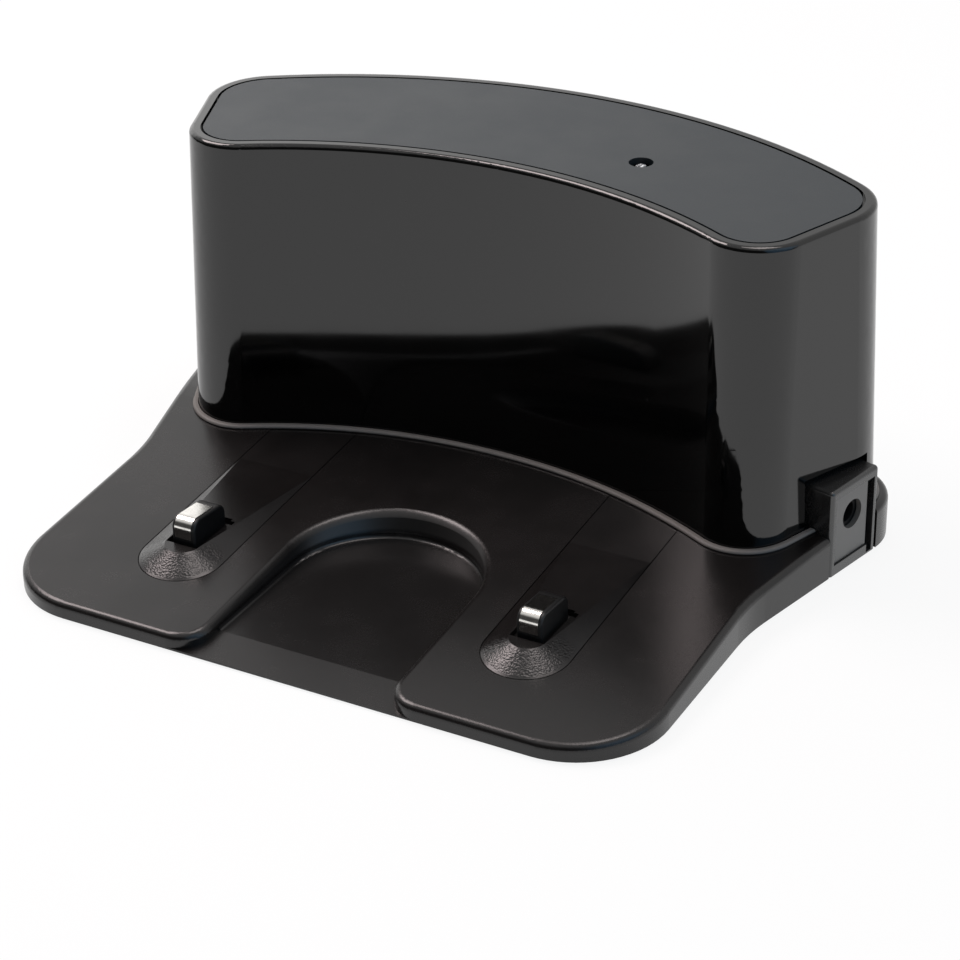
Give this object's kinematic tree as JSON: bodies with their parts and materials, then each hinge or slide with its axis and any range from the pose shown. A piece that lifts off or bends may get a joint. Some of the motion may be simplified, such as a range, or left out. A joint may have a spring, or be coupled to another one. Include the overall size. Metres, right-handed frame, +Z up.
{
  "type": "robot vacuum charging dock",
  "caption": "Charging dock with a flat sloped base, a wheel recess, sprung contact tongues, a concave-fronted tower and a side power inlet.",
  "frame": {"origin": "on the floor under the middle of the dock's outline", "axes": "+Z up, the front with the wheel recess faces -Y, +X is the side with the power inlet"},
  "size_m": [0.2222, 0.1846, 0.1],
  "materials": {
    "base_plastic": "fine-grained satin black",
    "plate_plastic": "plain black",
    "foot_rubber": "matte",
    "gloss_black": "polished black",
    "top_grey": "fine-grained dark blue-grey",
    "screw_steel": "plain",
    "board_green": "solder mask",
    "lamp_clear": "clear",
    "emitter_dark": "dark",
    "holder_black": "plain black",
    "contact_black": "plain black",
    "contact_nickel": "polished nickel",
    "spring_steel": "plain",
    "terminal_brass": "plain",
    "jack_frame": "satin black",
    "jack_panel": "satin black",
    "socket_black": "plain black",
    "pin_nickel": "plated",
    "lead_black": "plain",
    "lead_red": "plain"
  },
  "bodies": {
    "dock": {"base_shell": "base_plastic", "contact_cover_left": "base_plastic", "contact_cover_right": "base_plastic", "base_plate": "plate_plastic", "rubber_feet": "foot_rubber", "tower_cover": "gloss_black", "top_plate": "top_grey", "base_screws": "screw_steel", "tower_screws": "screw_steel", "led_screws": "screw_steel", "board_screws": "screw_steel", "main_board": "board_green", "led_board": "board_green", "led": "lamp_clear", "ir_emitters": "emitter_dark", "ir_holder": "holder_black", "contact_spring_left": "spring_steel", "contact_spring_right": "spring_steel", "spring_terminal_left": "terminal_brass", "spring_terminal_right": "terminal_brass", "jack_housing": "jack_frame", "jack_plate": "jack_panel", "dc_jack": "socket_black", "dc_jack_pin": "pin_nickel", "contact_lead_left": "lead_black", "jack_lead": "lead_black", "contact_lead_right": "lead_red", "led_lead": "lead_red"},
    "contact_left": {"contact_block_left": "contact_black", "contact_strip_left": "contact_nickel"},
    "contact_right": {"contact_block_right": "contact_black", "contact_strip_right": "contact_nickel"}
  },
  "joints": [
    {"name": "contact_left_slide", "type": "slide", "parent": "dock", "child": "contact_left", "axis": [0, 0, -1], "range_m": [0, 0.004], "stiffness_N_per_m": 300, "deforming": ["contact_spring_left"]},
    {"name": "contact_right_slide", "type": "slide", "parent": "dock", "child": "contact_right", "axis": [0, 0, -1], "range_m": [0, 0.004], "stiffness_N_per_m": 300, "deforming": ["contact_spring_right"]}
  ]
}
